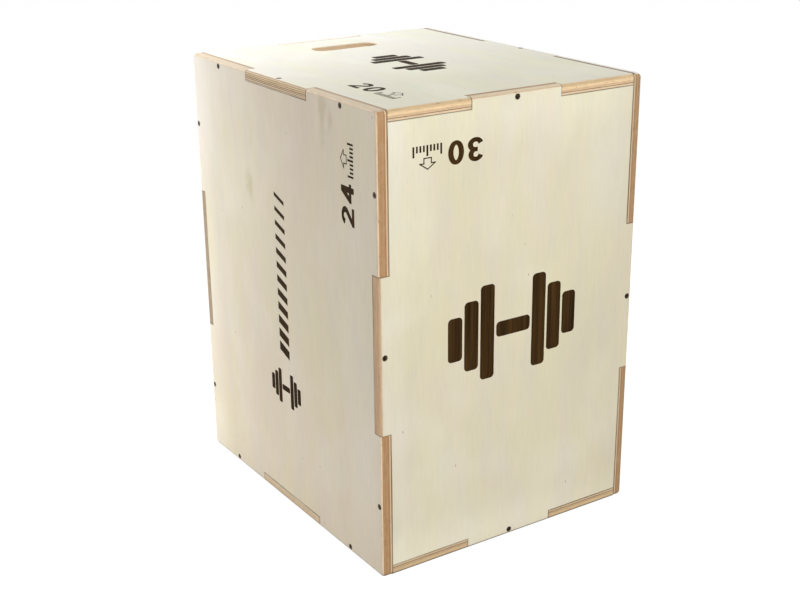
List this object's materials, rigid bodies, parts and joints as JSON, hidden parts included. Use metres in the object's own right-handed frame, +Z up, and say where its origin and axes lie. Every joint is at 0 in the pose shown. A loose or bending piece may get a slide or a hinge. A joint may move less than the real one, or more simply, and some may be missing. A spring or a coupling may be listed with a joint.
{
  "type": "plyo box",
  "caption": "Tall plywood jump box for training, with interlocking tabbed panels, countersunk screws and a round-ended hand slot; it can stand on any face for a different height.",
  "frame": {"origin": "centre of the footprint, on the floor", "axes": "+Z up along the 30 inch side, +X to the right along the front's 20 inch side, +Y from front to rear along the 24 inch side"},
  "size_m": [0.508, 0.6096, 0.762],
  "materials": {
    "plywood": "satin",
    "screw": "satin"
  },
  "bodies": {
    "root": {"bottom_panel": "plywood", "front_panel": "plywood", "left_panel": "plywood", "rear_panel": "plywood", "right_panel": "plywood", "screw_bottom_left": "screw", "screw_bottom_right": "screw", "screw_front_bottom": "screw", "screw_front_left": "screw", "screw_front_right": "screw", "screw_front_top": "screw", "screw_left_bottom_front": "screw", "screw_left_bottom_rear": "screw", "screw_left_front_bottom": "screw", "screw_left_front_top": "screw", "screw_left_rear_bottom": "screw", "screw_left_rear_top": "screw", "screw_left_top_front": "screw", "screw_left_top_rear": "screw", "screw_rear_bottom": "screw", "screw_rear_left": "screw", "screw_rear_right": "screw", "screw_rear_top": "screw", "screw_right_bottom_front": "screw", "screw_right_bottom_rear": "screw", "screw_right_front_bottom": "screw", "screw_right_front_top": "screw", "screw_right_rear_bottom": "screw", "screw_right_rear_top": "screw", "screw_right_top_front": "screw", "screw_right_top_rear": "screw", "screw_top_left": "screw", "screw_top_right": "screw", "top_panel": "plywood"}
  },
  "joints": []
}
